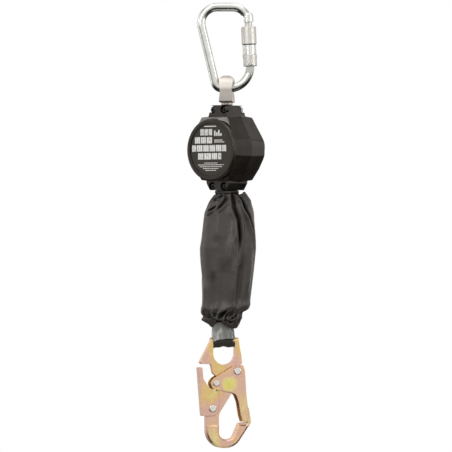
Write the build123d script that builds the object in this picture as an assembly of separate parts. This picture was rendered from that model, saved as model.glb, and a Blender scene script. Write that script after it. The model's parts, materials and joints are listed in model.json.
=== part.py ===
from build123d import *
import math
import os

# A personal self retracting lifeline, hanging as it is used. The origin is where the carabiner's top bow
# bears on its anchor, +Z is up and the carabiner lies in the XZ plane. The swivel's axis is the Z axis.
# Millimetres.

os.makedirs("parts", exist_ok=True)

# Carabiner, offset D, forged from round bar
bar_r = 5.2                     # radius of the bar
top_z = bar_r                   # centre line of the top bow
bottom_z = -92.2                # centre line of the bottom bow
top_left_x = -35.9              # corner of the top bow and the long leg, before rounding
bottom_left_x = -12.4           # corner of the long leg and the bottom bow, before rounding
nose_x = 24.5
tang_x = 28.4
bow_radii = (19.0, 9.0, 26.0)  # top left, bottom left, bottom right
nose_radius = 17.5

# Carabiner gate, measured up from its rivet
gate_pivot = (27.8, -62.2)      # X and Z
gate_lean = 2.6                 # degrees the gate leans from upright, its top towards -X
gate_core_r = 5.6
gate_fork_r = 8.7
gate_ring_r = 8.2
sleeve_r = 9.0
fork_low, fork_high = -3.6, 10.6
ring_high = 22.2
sleeve_high = 44.0
neck_high = 49.4
tongue_high = 56.2
tang_half = 2.6
rivet_r = 2.0
running_gap = 0.05

# Swivel
swivel_yaw = -6.0
eye_top, eye_base = -76.8, -109.4
eye_half = 8.2                  # half its thickness along the hole
eye_hole_r = 9.2
eye_r_outer = 15.6
eye_foot_depth = 14.2           # half the depth of its foot
eye_hole_z = bottom_z + bar_r + 0.5 - eye_hole_r
shank_r = 5.0
collar_r, collar_low = 7.0, -112.7

# Housing, in its own frame: origin on the drum's axis, X across, Y through, Z up
drum_z = -166.3
housing_yaw = -40.0
face_half = 27.5                # half the depth at mid height
shoulder_half = 22.5            # half the depth at the shoulders
side_draft = 6.0                # degrees
shoulder_top, shoulder_bottom = 41.5, -38.5
neck_top, neck_bottom = 53.6, -48.1
neck_half_depth = 17.0
cover_r, cover_front = 37.4, 31.0
label_r, label_recess = 31.4, 1.3
rear_cover_r, rear_cover_face = 33.0, 29.3
cavity_r, cavity_half = 31.4, 25.8
screw_x, screw_top_z, screw_bottom_z = 9.0, 48.1, -43.4
screw_head_r, screw_shaft_r, screw_head_y = 4.5, 1.9, -12.0

# Drum and webbing
web_width, web_thick = 20.0, 1.3
axle_r, axle_half = 5.0, 24.3
hub_r, flange_r = 9.0, 30.0
coil_r = 28.6
drum_half, flange_thick = 10.6, 1.4
plate_in, plate_out = 12.6, 14.6
web_exit_z = -38.5

# Below the housing
lead_top = drum_z + web_exit_z - 0.3
pack_top, pack_bottom = -240.0, -346.0
pack_half_x, pack_half_y = 18.5, 10.0
tube_top, tube_bottom = -372.0, -390.2
tube_half_x = 15.4
loop_width, loop_thick = 25.0, 2.4

# Snap hook, in its own frame: origin in the centre of the eye
hook_x, hook_z, hook_yaw = -4.3, -410.0, 16.0
eye_r = 13.6
eye_bar_z, eye_bar_r = 15.0, 4.0
plate_half, bow_half = 4.0, 5.6
bow_top = -85.3
lever_in, lever_out = 4.3, 5.7
gate_in, gate_out = 6.0, 7.5
gate_rivet = (15.6, -21.2)
gate_pin = (-10.8, -35.4)
lever_rivet = (-14.8, -65.8)
hook_rivet_r = 2.6
gate_pin_r = 2.2

HOUSING = Location((0, 0, drum_z), (0, 0, housing_yaw))
HOOK = Location((hook_x, 0, hook_z), (0, 0, hook_yaw))
SWIVEL = Location((0, 0, 0), (0, 0, swivel_yaw))
GATE = Location((gate_pivot[0], 0, gate_pivot[1]), (0, -gate_lean, 0))


def face_xz(corners):
    """A face in the XZ plane from corners given as x, z and the radius of the corner."""
    points = [(x, z) for x, z, radius in corners]
    radii = [radius for x, z, radius in corners]
    return Plane.XZ * make_face(FilletPolyline(*points, radius=radii, close=True))


def slab(corners, half):
    """The outline as a slab, half its thickness to each side of the XZ plane."""
    return extrude(face_xz(corners), amount=half, both=True)


def block(x, y, z):
    """A box from its limits along each axis."""
    size = (x[1] - x[0], y[1] - y[0], z[1] - z[0])
    middle = ((x[0] + x[1]) / 2, (y[0] + y[1]) / 2, (z[0] + z[1]) / 2)
    return Pos(*middle) * Box(*size)


def both_sides(y_in, y_out):
    """The same layer in front of and behind the middle plane."""
    return ((-y_out, -y_in), (y_in, y_out))


def disc_y(x, z, radius, low, high):
    """A cylinder along Y."""
    start = Plane(origin=(x, low, z), z_dir=(0, 1, 0))
    return start * Cylinder(radius, high - low, align=(Align.CENTER, Align.CENTER, Align.MIN))


def ring_y(x, z, outer, inner, low, high):
    return disc_y(x, z, outer, low, high) - disc_y(x, z, inner, low - 1, high + 1)


def disc_z(radius, low, high):
    return Pos(0, 0, low) * Cylinder(radius, high - low, align=(Align.CENTER, Align.CENTER, Align.MIN))


def ring_z(outer, inner, low, high):
    return disc_z(outer, low, high) - disc_z(inner, low - 1, high + 1)


def coil_spring(radius, wire, pitch, height):
    """A helical spring along Z from Z = 0."""
    path = Helix(pitch=pitch, height=height, radius=radius)
    section = Plane(origin=path @ 0, z_dir=path % 0) * Circle(wire)
    return sweep(section, path=path, is_frenet=True)


def rivet(x, z, shaft_r, head_r, inner, head):
    """A rivet along Y with a domed head outside each plate."""
    body = disc_y(x, z, shaft_r, -inner, inner)
    for low, high in both_sides(inner, inner + head):
        knob = disc_y(x, z, head_r, low, high)
        outer_y = low if low < 0 else high
        rim = knob.edges().filter_by(GeomType.CIRCLE).filter_by(lambda e: abs(e.center().Y - outer_y) < 0.01)
        body += fillet(rim, head * 0.7)
    return body


# Carabiner

def carabiner_body():
    """The bent bar, its slotted nose and the flat tang in the gate's fork."""
    centre_line = FilletPolyline(
        (nose_x + 0.4, -12.6), (nose_x, top_z), (top_left_x, top_z), (bottom_left_x, bottom_z),
        (tang_x, bottom_z), (gate_pivot[0], gate_pivot[1]),
        radius=(nose_radius, *bow_radii),
    )
    path = Plane.XZ * centre_line
    bar = sweep(Plane(origin=path @ 0, z_dir=path % 0) * Circle(bar_r), path=path)
    flat_z = gate_pivot[1] - 11.5
    for low, high in both_sides(tang_half, 12.0):
        bar -= block((gate_pivot[0] - 12, gate_pivot[0] + 14), (low, high), (flat_z, gate_pivot[1] + 8))
    bar += disc_y(*gate_pivot, bar_r, -tang_half, tang_half)
    bar -= disc_y(*gate_pivot, rivet_r, -8, 8)
    nose = disc_z(6.4, neck_high + 0.2, 60.5)
    nose = fillet(nose.edges().group_by(Axis.Z)[-1], 3.0)
    slot = block((-12, 4.1), (-3.3, 3.3), (neck_high - 2, tongue_high + 1.0))
    return bar + GATE * nose - GATE * slot


def carabiner_rivet():
    return rivet(*gate_pivot, rivet_r, 3.0, gate_fork_r + 0.1, 1.0)


def carabiner_gate():
    """Fork, core, neck and the tongue that closes in the nose."""
    gate = disc_z(gate_fork_r, fork_low, fork_high)
    gate = fillet(gate.edges().group_by(Axis.Z)[0] + gate.edges().group_by(Axis.Z)[-1], 0.8)
    gate += disc_z(gate_core_r, fork_high - 1, sleeve_high)
    gate += disc_z(4.4, sleeve_high, neck_high)
    gate += block((-4.4, 3.7), (-2.9, 2.9), (neck_high - 1, tongue_high))
    gate -= block((-12, 12), (-tang_half - 0.3, tang_half + 0.3), (fork_low - 2, bar_r + 1.2))
    gate -= disc_z(2.6, 14, 36)
    gate = GATE * gate
    return gate - disc_y(*gate_pivot, rivet_r + running_gap, -12, 12)


def gate_ring():
    ring = ring_z(gate_ring_r, gate_core_r, fork_high + 0.1, ring_high)
    return GATE * chamfer(ring.edges().group_by(Axis.Z)[-1].sort_by(SortBy.RADIUS)[-1], 0.5)


def twist_sleeve():
    """The sleeve that turns on the gate, open inside for its spring."""
    sleeve = disc_z(sleeve_r, ring_high + 0.3, sleeve_high)
    ends = sleeve.edges().group_by(Axis.Z)[0] + sleeve.edges().group_by(Axis.Z)[-1]
    sleeve = fillet(ends, 1.0)
    sleeve -= disc_z(gate_core_r + 0.06, ring_high - 1, sleeve_high + 1)
    sleeve -= disc_z(7.7, ring_high + 2, sleeve_high - 2.5)
    return GATE * sleeve


def sleeve_spring():
    return GATE * Pos(0, 0, ring_high + 3) * coil_spring(6.65, 0.55, 2.9, 15.0)


def gate_spring():
    return GATE * Pos(0, 0, 15) * coil_spring(1.8, 0.4, 2.2, 19.0)


# Swivel

def swivel_eye():
    """A forged eye with its hole along X, waisted where the carabiner passes, on a round shank."""
    waist_z = bottom_z - 2.5
    front = slab([
        (-eye_half, eye_top, 6.5), (eye_half, eye_top, 6.5), (eye_half, bottom_z + 6, 4),
        (6.9, waist_z, 8), (eye_half, eye_base + 3, 4), (eye_half, eye_base, 1),
        (-eye_half, eye_base, 1), (-eye_half, eye_base + 3, 4), (-6.9, waist_z, 8),
        (-eye_half, bottom_z + 6, 4),
    ], 20)
    head = Pos(0, eye_top - eye_r_outer) * Circle(eye_r_outer)
    foot = Pos(0, eye_base + 3) * RectangleRounded(2 * eye_foot_depth, 6, 2.4)
    side = Plane.YZ * make_hull(head.edges() + foot.edges())
    eye = front & extrude(side, amount=12, both=True)
    hole = Plane(origin=(-15, 0, eye_hole_z), z_dir=(1, 0, 0)) * Circle(eye_hole_r)
    eye -= extrude(hole, amount=30)

    def on_hole(edge):
        ends = (edge @ 0.2, edge @ 0.7)
        return all(abs(math.hypot(p.Y, p.Z - eye_hole_z) - eye_hole_r) < 0.02 for p in ends)

    eye = fillet(eye.edges().filter_by(on_hole), 3.4)
    return SWIVEL * (eye + disc_z(shank_r, drum_z + 31.6, eye_base + 0.5))


def collar_bush():
    bush = ring_z(collar_r, shank_r, collar_low + 0.4, eye_base - 0.1)
    return chamfer(bush.edges().group_by(Axis.Z)[0].sort_by(SortBy.RADIUS)[-1], 0.6)


def swivel_washer():
    return ring_z(7.4, shank_r, drum_z + 36.7, drum_z + 37.9)


def swivel_nut():
    hexagon = Pos(0, 0, drum_z + 31.7) * RegularPolygon(6.5, 6, major_radius=False)
    return extrude(hexagon, amount=4.9) - disc_z(shank_r, drum_z, drum_z + 50)


# Housing

side_corners = [
    (21.6, shoulder_top, 2.0), (39.4, 8.6, 20.0), (38.6, -7.5, 6.0), (31.2, -24.0, 16.0),
    (21.6, shoulder_bottom, 2.0),
]
mirrored_side = [(-x, z, radius) for x, z, radius in reversed(side_corners)]
depth_corners = [
    (-shoulder_half + 0.6, 44.0, 0), (-face_half, 14.0, 12), (-face_half, -12.0, 12),
    (-shoulder_half + 0.6, -42.0, 0),
]
mirrored_depth = [(-y, z, radius) for y, z, radius in reversed(depth_corners)]


def half_body(sign):
    """One half of the outside: drafted sides, faces that lean back to the shoulders, neck and foot."""
    outline_plane = Plane(origin=(0, 0, 0), x_dir=(1, 0, 0), z_dir=(0, -1, 0))
    corners = side_corners + mirrored_side
    points = [(x, z) for x, z, radius in corners]
    radii = [radius for x, z, radius in corners]
    outline = outline_plane * make_face(FilletPolyline(*points, radius=radii, close=True))
    body = extrude(outline, amount=face_half + 1, taper=side_draft)
    flanks = depth_corners + mirrored_depth
    flank_points = [(y, z) for y, z, radius in flanks]
    flank_radii = [radius for y, z, radius in flanks]
    flank = Plane.YZ * make_face(FilletPolyline(*flank_points, radius=flank_radii, close=True))
    body &= extrude(flank, amount=50, both=True)
    neck = slab([(-10, neck_top, 1.5), (10, neck_top, 1.5), (15.5, 38, 0), (-15.5, 38, 0)], neck_half_depth)
    foot = slab([
        (-18, -34, 0), (18, -34, 0), (17.6, shoulder_bottom - 1.5, 1), (12.4, neck_bottom, 1.5),
        (-12.4, neck_bottom, 1.5), (-17.6, shoulder_bottom - 1.5, 1),
    ], neck_half_depth)
    front_only = block((-60, 60), (-60, 0), (-80, 80))
    body += (neck + foot) & front_only
    boss_r = cover_r - 1.4 if sign < 0 else rear_cover_r
    body += disc_y(0, 0, boss_r, -face_half, -10)
    return body if sign < 0 else mirror(body, about=Plane.XZ)


def housing_room():
    """Everything cut out of the shells: room for the works, the shank, the web and the screws."""
    room = disc_y(0, 0, cavity_r, -cavity_half, cavity_half)
    room += disc_y(0, 0, 34.0, -13.5, 13.5)
    room += block((-9.8, 9.8), (-plate_out - 0.5, plate_out + 0.5), (20, 42.2))
    room += disc_z(shank_r + 0.6, 30, 60)
    room += slab([(-5, -28, 0), (20, -24, 0), (24, -28, 0), (5, -41.5, 0), (-5, -41.5, 0)], 11.6)
    room += block((-4.5, 4.5), (-12.0, 12.0), (-60, -38))
    for x in (-screw_x, screw_x):
        for z in (screw_top_z, screw_bottom_z):
            room += disc_y(x, z, screw_shaft_r + 0.15, -30, 30)
            room += disc_y(x, z, screw_head_r + 0.5, -40, screw_head_y)
            room += disc_y(x, z, screw_head_r + 0.5, -screw_head_y, 40)
    return room


def shell(sign):
    return HOUSING * (half_body(sign) - housing_room())


def front_cover():
    """The thick round rim with the recess for the label."""
    cover = disc_y(0, 0, cover_r, -cover_front, -face_half)
    front_edge = cover.edges().filter_by(GeomType.CIRCLE).sort_by(Axis.Y)[0]
    cover = fillet(front_edge, 2.2)
    recess = disc_y(0, 0, label_r + 0.3, -cover_front - 1, -cover_front + label_recess)
    return HOUSING * (cover - recess)


def label_disc():
    label_y = -cover_front + label_recess
    return HOUSING * disc_y(0, 0, label_r, label_y - 0.5, label_y)


def rear_cover():
    cover = disc_y(0, 0, rear_cover_r, face_half, rear_cover_face)
    rear_edge = cover.edges().filter_by(GeomType.CIRCLE).sort_by(Axis.Y)[-1]
    return HOUSING * fillet(rear_edge, 1.2)


def shell_screws():
    """Four button head screws from the front, in open pockets."""
    screws = []
    for x in (-screw_x, screw_x):
        for z in (screw_top_z, screw_bottom_z):
            head = disc_y(x, z, screw_head_r, screw_head_y - 3.6, screw_head_y)
            crown = head.edges().filter_by(GeomType.CIRCLE).sort_by(Axis.Y)[0]
            head = fillet(crown, 2.4)
            socket = Plane(origin=(x, screw_head_y - 4, z), z_dir=(0, 1, 0)) * RegularPolygon(1.7, 6)
            head -= extrude(socket, amount=2.4)
            screws.append(HOUSING * (head + disc_y(x, z, screw_shaft_r, screw_head_y - 0.5, 14.0)))
    return Compound(children=screws)


def shell_nuts():
    nuts = []
    for x in (-screw_x, screw_x):
        for z in (screw_top_z, screw_bottom_z):
            flats = Plane(origin=(x, -screw_head_y, z), z_dir=(0, 1, 0)) * RegularPolygon(4.0, 6)
            nuts.append(HOUSING * (extrude(flats, amount=3.2) - disc_y(x, z, screw_shaft_r, 0, 30)))
    return Compound(children=nuts)


def load_bracket():
    """The steel yoke that carries the drum's axle and hangs from the swivel."""
    bracket = block((-9, 9), (-plate_out, plate_out), (38.0, 41.5))
    for low, high in both_sides(plate_in, plate_out):
        arm = slab([(-9, 41, 0), (9, 41, 0), (11, 0, 11), (7, -12, 5), (-7, -12, 5), (-11, 0, 11)], 0.5)
        arm = Pos(0, (low + high) / 2, 0) * scale(arm, by=(1, high - low, 1))
        bracket += arm
    bracket -= disc_z(shank_r + running_gap, 30, 50)
    return HOUSING * (bracket - disc_y(0, 0, 7.0, -20, 20))


def axle_bushes():
    rings = [ring_y(0, 0, 7.0, axle_r + 0.04, low, high) for low, high in both_sides(plate_in, plate_out)]
    return Compound(children=[HOUSING * ring for ring in rings])


def spring_cup():
    cup = disc_y(0, 0, 28.5, -cavity_half + 0.2, -15.4) - disc_y(0, 0, 27.3, -cavity_half + 1.2, 0)
    return HOUSING * cup


def retraction_spring():
    """A flat spiral of half turns, each a little wider than the last, between the arbor and the cup."""
    strip, grow, turns, inner = 0.7, 1.6, 11, 8.2

    def half_turns(offset):
        arcs = []
        for half in range(2 * turns):
            radius = inner + half * grow / 2 + offset
            middle_x = 0 if half % 2 == 0 else grow / 2
            side = 1 if half % 2 == 0 else -1
            start = (middle_x + side * radius, 0)
            end = (middle_x - side * radius, 0)
            arcs.append(ThreePointArc(start, (middle_x, side * radius), end))
        return arcs

    inside, outside = half_turns(0), half_turns(strip)
    ends = [Line(inside[0] @ 0, outside[0] @ 0), Line(inside[-1] @ 1, outside[-1] @ 1)]
    spiral = Plane.XZ * make_face(inside + outside + ends)
    return HOUSING * Pos(0, -16.6, 0) * extrude(spiral, amount=7.0)


def spring_arbor():
    return HOUSING * ring_y(0, 0, 7.4, axle_r, -23.3, -16.0)


def ratchet_ring():
    """A fixed ring with inward teeth that the pawls catch when the line is pulled fast."""
    teeth = 12
    ring = ring_y(0, 0, 30.6, 28.0, 19.0, 23.6)
    for index in range(teeth):
        tooth = slab([(28.6, -3.4, 0), (28.6, 3.4, 0), (25.2, 2.6, 0)], 2.3)
        ring += Rot(0, 360 / teeth * index, 0) * Pos(0, 21.3, 0) * tooth
    return HOUSING * ring


def web_guide():
    pins = [disc_y(x, -40.6, 1.7, -11.6, 11.6) for x in (-2.7, 2.7)]
    return Compound(children=[HOUSING * pin for pin in pins])


def web_nozzle():
    """The lipped outlet under the housing."""
    stem = block((-4.4, 4.4), (-11.9, 11.9), (-47.9, -43.2))
    lip = block((-9.4, 9.4), (-12.2, 12.2), (-52.9, -48.2))
    lip = fillet(lip.edges(), 1.6)
    slot = block((-1.2, 1.2), (-10.7, 10.7), (-60, -40))
    return HOUSING * (stem + block((-4.4, 4.4), (-11.9, 11.9), (-50, -47)) + lip - slot)


def web_run():
    """The webbing between the coil and the outlet."""
    reach = coil_r + web_thick / 2 + 0.4
    lean = math.asin(reach / -web_exit_z)
    length = math.sqrt(web_exit_z ** 2 - reach ** 2)
    run = block((-web_thick / 2, web_thick / 2), (-web_width / 2, web_width / 2), (1.2, length))
    return HOUSING * Pos(0, 0, web_exit_z) * Rot(0, math.degrees(lean), 0) * run


# Drum

def drum_axle():
    return HOUSING * disc_y(0, 0, axle_r, -axle_half, axle_half)


def web_drum():
    return HOUSING * ring_y(0, 0, hub_r, axle_r, -drum_half, drum_half)


def drum_flanges():
    layers = both_sides(drum_half, drum_half + flange_thick)
    return Compound(children=[HOUSING * ring_y(0, 0, flange_r, axle_r, low, high) for low, high in layers])


def web_coil():
    return HOUSING * ring_y(0, 0, coil_r, hub_r, -web_width / 2, web_width / 2)


def axle_clips():
    layers = both_sides(axle_half - 0.9, axle_half - 0.1)
    return Compound(children=[HOUSING * ring_y(0, 0, 7.0, axle_r, low, high) for low, high in layers])


def pawl_carrier():
    return HOUSING * ring_y(0, 0, 20.0, axle_r, 15.2, 17.6)


pawl_pivot = 13.0               # from the drum's axis, one each side


def pawl_pins():
    pins = [disc_y(x, 0, 1.6, 17.6, 22.6) for x in (-pawl_pivot, pawl_pivot)]
    return Compound(children=[HOUSING * pin for pin in pins])


def pawl(angle):
    """A curved pawl on its pin, its nose just inside the ratchet teeth."""
    arm = slab([
        (pawl_pivot - 4, -4, 3.5), (pawl_pivot + 4, -3.5, 3.5), (pawl_pivot + 5, 5, 8), (10.6, 20.0, 0.6),
        (6.4, 20.8, 0.6), (pawl_pivot - 4, 6, 8),
    ], 1.8)
    arm = Pos(0, 20.2, 0) * arm - disc_y(pawl_pivot, 0, 1.65, 10, 30)
    return HOUSING * Rot(0, angle, 0) * arm


# Energy absorber and its cover

def web_lead():
    """The webbing that leaves the outlet; it lengthens as the line pays out."""
    half_x, half_y = web_thick / 2, web_width / 2
    lead = block((-half_x, half_x), (-half_y, half_y), (pack_top, lead_top))
    return Rot(0, 0, housing_yaw) * lead


def line_stop():
    stop = fillet(block((-6, 6), (-11.6, 11.6), (-236, -230)).edges(), 1.5)
    slot = block((-1.0, 1.0), (-10.4, 10.4), (-240, -220))
    return Rot(0, 0, housing_yaw) * (stop - slot)


def energy_absorber():
    pack = block((-pack_half_x, pack_half_x), (-pack_half_y, pack_half_y), (pack_bottom, pack_top))
    return fillet(pack.edges().filter_by(Axis.Z), 4.0)


# Height, middle, half width and half depth of the cover's sections
cover_sections = (
    (-220.6, 0.0, 17.0, 12.0), (-228.0, 3.0, 24.0, 15.0), (-238.0, 2.2, 28.5, 18.0),
    (-258.0, 2.0, 31.5, 20.0), (-290.0, 1.0, 34.0, 22.0), (-322.0, 0.5, 31.2, 21.0),
    (-346.0, -1.3, 29.2, 19.5), (-360.0, -4.2, 25.0, 18.5), (-372.0, -5.2, 21.5, 17.0),
    (-381.5, -4.8, 18.8, 15.6),
)


def cover_loft(inset):
    """The cover's shape, smaller all round by the inset; the inner one runs out at both ends."""
    faces = []
    for index, (z, middle, half_x, half_y) in enumerate(cover_sections):
        if inset and index == 0:
            z += 1
        if inset and index == len(cover_sections) - 1:
            z -= 1
        faces.append(Pos(middle, 0, z) * Ellipse(half_x - inset, half_y - inset))
    return loft(faces)


def fabric_cover():
    return cover_loft(0) - cover_loft(1.4)


def hem_elastics():
    """The elastic in each gathered end of the cover."""
    upper = extrude(Ellipse(15.6, 10.4) - Ellipse(14.8, 9.6), amount=2)
    lower = extrude(RectangleRounded(32.6, 15.9, 5.4) - RectangleRounded(31.4, 14.7, 5.0), amount=2)
    rings = [Pos(0.6, 0, -225) * upper, Location((hook_x, 0, -378.6), (0, 0, hook_yaw)) * lower]
    return Compound(children=rings)


def shrink_tube():
    def sleeve(inset):
        reach = 1 if inset else 0
        wide = 2 * (tube_half_x - inset)
        top = Pos(0, 0, tube_top + reach) * RectangleRounded(wide, 12.4 - 2 * inset, 5.0)
        low = Pos(0, 0, tube_bottom - reach) * RectangleRounded(wide, 17.4 - 2 * inset, 5.0)
        return loft([low, top])

    return Location((hook_x, 0, 0), (0, 0, hook_yaw)) * (sleeve(0) - sleeve(1.0))


def web_loop():
    """The sewn loop round the bar of the hook's eye, and its tail up to the absorber."""
    bar_z = hook_z + eye_bar_z
    inner_r = eye_bar_r + 0.4

    def teardrop(radius, half_top, top):
        ring = Pos(0, bar_z) * Circle(radius)
        apex = Pos(0, top) * Rectangle(2 * half_top, 1)
        return extrude(Plane.YZ * make_hull(ring.edges() + apex.edges()), amount=loop_width / 2, both=True)

    loop = teardrop(inner_r + loop_thick, loop_thick, -373) - teardrop(inner_r, 0.2, -377)
    tail = block((-loop_width / 2, loop_width / 2), (-loop_thick, loop_thick), (-374, pack_bottom - 0.05))
    return Location((hook_x, 0, 0), (0, 0, hook_yaw)) * (loop + tail)


# Snap hook

hook_corners = [
    (-16.4, eye_bar_z, 0), (-30.0, -10.4, 1.6), (-28.2, -12.5, 0.8), (-16.2, -12.7, 2), (-13.9, -23.6, 1.5),
    (-6.8, -29.6, 2), (-6.4, -42.5, 3), (-15.2, -50.5, 4), (-23.0, -60.0, 8), (-22.2, -113.4, 21.6),
    (13.0, -113.4, 21.0), (33.6, -83.0, 6), (30.6, -65.0, 0.6), (29.2, -66.0, 0.3), (29.2, -83.2, 0.5),
    (18.2, -83.6, 1), (9.6, -103.0, 8), (-6.6, -103.2, 9), (-6.6, -72.5, 14), (9.0, -48.2, 1.2),
    (20.0, -28.0, 3), (21.4, -20.0, 2), (20.4, -13.4, 0.6), (22.3, -12.5, 0.5), (21.4, -2.8, 10),
    (18.2, eye_bar_z, 0),
]


def hook_body():
    """The forged hook: eye with its round bar, flat shank and a thicker bow with bevelled edges."""
    plate = slab(hook_corners, plate_half)
    bow = slab(hook_corners, bow_half) & block((-60, 60), (-20, 20), (-130, bow_top))
    bow = chamfer(bow.faces().filter_by(Axis.Y).edges(), 2.0)
    hole = disc_y(0, 0, eye_r, -10, 10) + block((-eye_r, eye_r), (-10, 10), (0, eye_bar_z + 5))
    bar = Plane(origin=(-16.4, 0, eye_bar_z), z_dir=(1, 0, 0)) * Cylinder(
        eye_bar_r, 34.6, align=(Align.CENTER, Align.CENTER, Align.MIN)
    )
    body = plate + bow - hole + bar
    for x, z in (gate_rivet, lever_rivet):
        body -= disc_y(x, z, hook_rivet_r, -10, 10)
    return HOOK * body


gate_corners = [
    (-13.6, -29.4, 4), (9.4, -15.6, 5), (22.6, -13.9, 2), (25.0, -21.6, 6), (26.4, -46.2, 20),
    (28.8, -66.8, 30), (28.9, -81.8, 1), (22.6, -82.6, 1), (20.3, -75.7, 30), (17.4, -58.3, 12),
    (13.8, -49.1, 6), (6.9, -46.3, 8), (-15.0, -42.6, 6), (-18.0, -35.4, 5),
]
gate_inside = [
    (-40, 10, 0), (19.6, 10, 0), (21.2, -14.0, 0), (23.5, -21.8, 6), (24.9, -46.3, 20), (27.3, -66.9, 30),
    (27.4, -100, 0), (-40, -100, 0),
]


def hook_gate():
    """The pressed gate: two plates and the back that joins them along the outer edge."""
    gate = slab(gate_corners, gate_out) - slab(gate_inside, gate_in)
    gate -= disc_y(*gate_rivet, hook_rivet_r + running_gap, -20, 20)
    return HOOK * (gate - disc_y(*gate_pin, gate_pin_r, -20, 20))


def gate_lock_pin():
    return HOOK * rivet(*gate_pin, gate_pin_r, 4.0, gate_out + 0.02, 1.3)


lever_corners = [
    (-32.2, -16.4, 1), (-27.6, -16.4, 1), (-26.4, -30.0, 4), (-19.0, -41.0, 6), (-6.6, -46.4, 3),
    (-7.6, -69.0, 7), (-12.0, -74.4, 5), (-27.6, -74.6, 1.5),
]
lever_inside = [
    (-30.8, -10, 0), (10, -10, 0), (10, -90, 0), (-24.8, -90, 0),
]


def lock_lever():
    """The pressed lever that has to be squeezed before the gate opens."""
    lever = slab(lever_corners, lever_out) - slab(lever_inside, lever_in)
    return HOOK * (lever - disc_y(*lever_rivet, hook_rivet_r + running_gap, -20, 20))


def hook_rivets():
    pair = [
        HOOK * rivet(*gate_rivet, hook_rivet_r, 4.4, gate_out + 0.15, 1.3),
        HOOK * rivet(*lever_rivet, hook_rivet_r, 4.4, lever_out + 0.15, 1.3),
    ]
    return Compound(children=pair)


def hook_gate_spring():
    """Two turns round the gate's rivet, between the shank and the front plate."""
    coil = coil_spring(3.6, 0.4, 0.85, 0.85)
    stand = Plane(origin=(gate_rivet[0], -plate_half - 0.5, gate_rivet[1]), z_dir=(0, -1, 0))
    return HOOK * (stand * coil)


def lever_spring():
    coil = coil_spring(2.4, 0.4, 1.5, 3.0)
    stand = Plane(origin=(-26.9, 0, -53.0), z_dir=(1, 0, 0))
    return HOOK * (stand * coil)


pieces = {
    "carabiner_body": carabiner_body(),
    "carabiner_rivet": carabiner_rivet(),
    "carabiner_gate": carabiner_gate(),
    "gate_ring": gate_ring(),
    "twist_sleeve": twist_sleeve(),
    "sleeve_spring": sleeve_spring(),
    "gate_spring": gate_spring(),
    "swivel_eye": swivel_eye(),
    "collar_bush": collar_bush(),
    "swivel_washer": swivel_washer(),
    "swivel_nut": swivel_nut(),
    "front_shell": shell(-1),
    "rear_shell": shell(1),
    "front_cover": front_cover(),
    "label_disc": label_disc(),
    "rear_cover": rear_cover(),
    "shell_screws": shell_screws(),
    "shell_nuts": shell_nuts(),
    "load_bracket": load_bracket(),
    "axle_bushes": axle_bushes(),
    "spring_cup": spring_cup(),
    "retraction_spring": retraction_spring(),
    "spring_arbor": spring_arbor(),
    "ratchet_ring": ratchet_ring(),
    "web_guide": web_guide(),
    "web_nozzle": web_nozzle(),
    "web_run": web_run(),
    "drum_axle": drum_axle(),
    "web_drum": web_drum(),
    "drum_flanges": drum_flanges(),
    "web_coil": web_coil(),
    "axle_clips": axle_clips(),
    "pawl_carrier": pawl_carrier(),
    "pawl_pins": pawl_pins(),
    "pawl_a": pawl(0),
    "pawl_b": pawl(180),
    "web_lead": web_lead(),
    "line_stop": line_stop(),
    "energy_absorber": energy_absorber(),
    "fabric_cover": fabric_cover(),
    "hem_elastics": hem_elastics(),
    "shrink_tube": shrink_tube(),
    "web_loop": web_loop(),
    "hook_body": hook_body(),
    "hook_gate": hook_gate(),
    "gate_lock_pin": gate_lock_pin(),
    "lock_lever": lock_lever(),
    "hook_rivets": hook_rivets(),
    "hook_gate_spring": hook_gate_spring(),
    "lever_spring": lever_spring(),
}

for name, piece in pieces.items():
    export_step(piece, f"parts/{name}.step")
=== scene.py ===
import json
import math

import bmesh
import bpy
import numpy as np
from mathutils import Matrix, Vector, noise


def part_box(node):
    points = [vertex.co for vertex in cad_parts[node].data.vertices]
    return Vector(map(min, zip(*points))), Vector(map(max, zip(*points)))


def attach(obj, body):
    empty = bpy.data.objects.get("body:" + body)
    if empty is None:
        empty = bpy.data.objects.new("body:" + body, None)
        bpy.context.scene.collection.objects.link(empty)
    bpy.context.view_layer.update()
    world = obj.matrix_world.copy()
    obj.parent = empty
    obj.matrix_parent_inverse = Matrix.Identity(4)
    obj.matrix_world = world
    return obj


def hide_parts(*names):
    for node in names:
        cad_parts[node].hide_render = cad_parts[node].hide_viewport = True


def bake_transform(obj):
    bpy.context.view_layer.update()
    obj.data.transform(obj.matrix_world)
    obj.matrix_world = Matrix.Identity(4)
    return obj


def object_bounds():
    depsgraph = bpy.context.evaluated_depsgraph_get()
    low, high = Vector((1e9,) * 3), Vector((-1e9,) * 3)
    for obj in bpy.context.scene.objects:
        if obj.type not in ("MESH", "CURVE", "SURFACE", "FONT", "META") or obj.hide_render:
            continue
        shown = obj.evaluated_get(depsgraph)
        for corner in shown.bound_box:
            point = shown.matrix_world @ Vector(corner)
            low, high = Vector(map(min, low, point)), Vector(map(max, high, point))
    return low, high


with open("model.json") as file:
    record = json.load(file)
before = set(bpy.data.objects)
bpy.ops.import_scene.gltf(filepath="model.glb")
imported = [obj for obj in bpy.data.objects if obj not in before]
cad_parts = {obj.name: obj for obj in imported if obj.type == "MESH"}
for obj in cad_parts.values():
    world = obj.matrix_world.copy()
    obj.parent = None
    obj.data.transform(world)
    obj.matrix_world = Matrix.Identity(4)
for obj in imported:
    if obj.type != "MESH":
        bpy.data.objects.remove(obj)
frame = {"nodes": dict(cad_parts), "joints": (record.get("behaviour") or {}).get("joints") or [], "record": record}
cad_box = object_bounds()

MM = 0.001
nodes = frame["nodes"]
joints = {joint["name"]: joint for joint in frame["joints"]}


# ---------------------------------------------------------------- the frame's own directions and places

def node_middle(name):
    """The middle of a CAD node's box."""
    low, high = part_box(name)
    return (Vector(low) + Vector(high)) / 2


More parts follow.
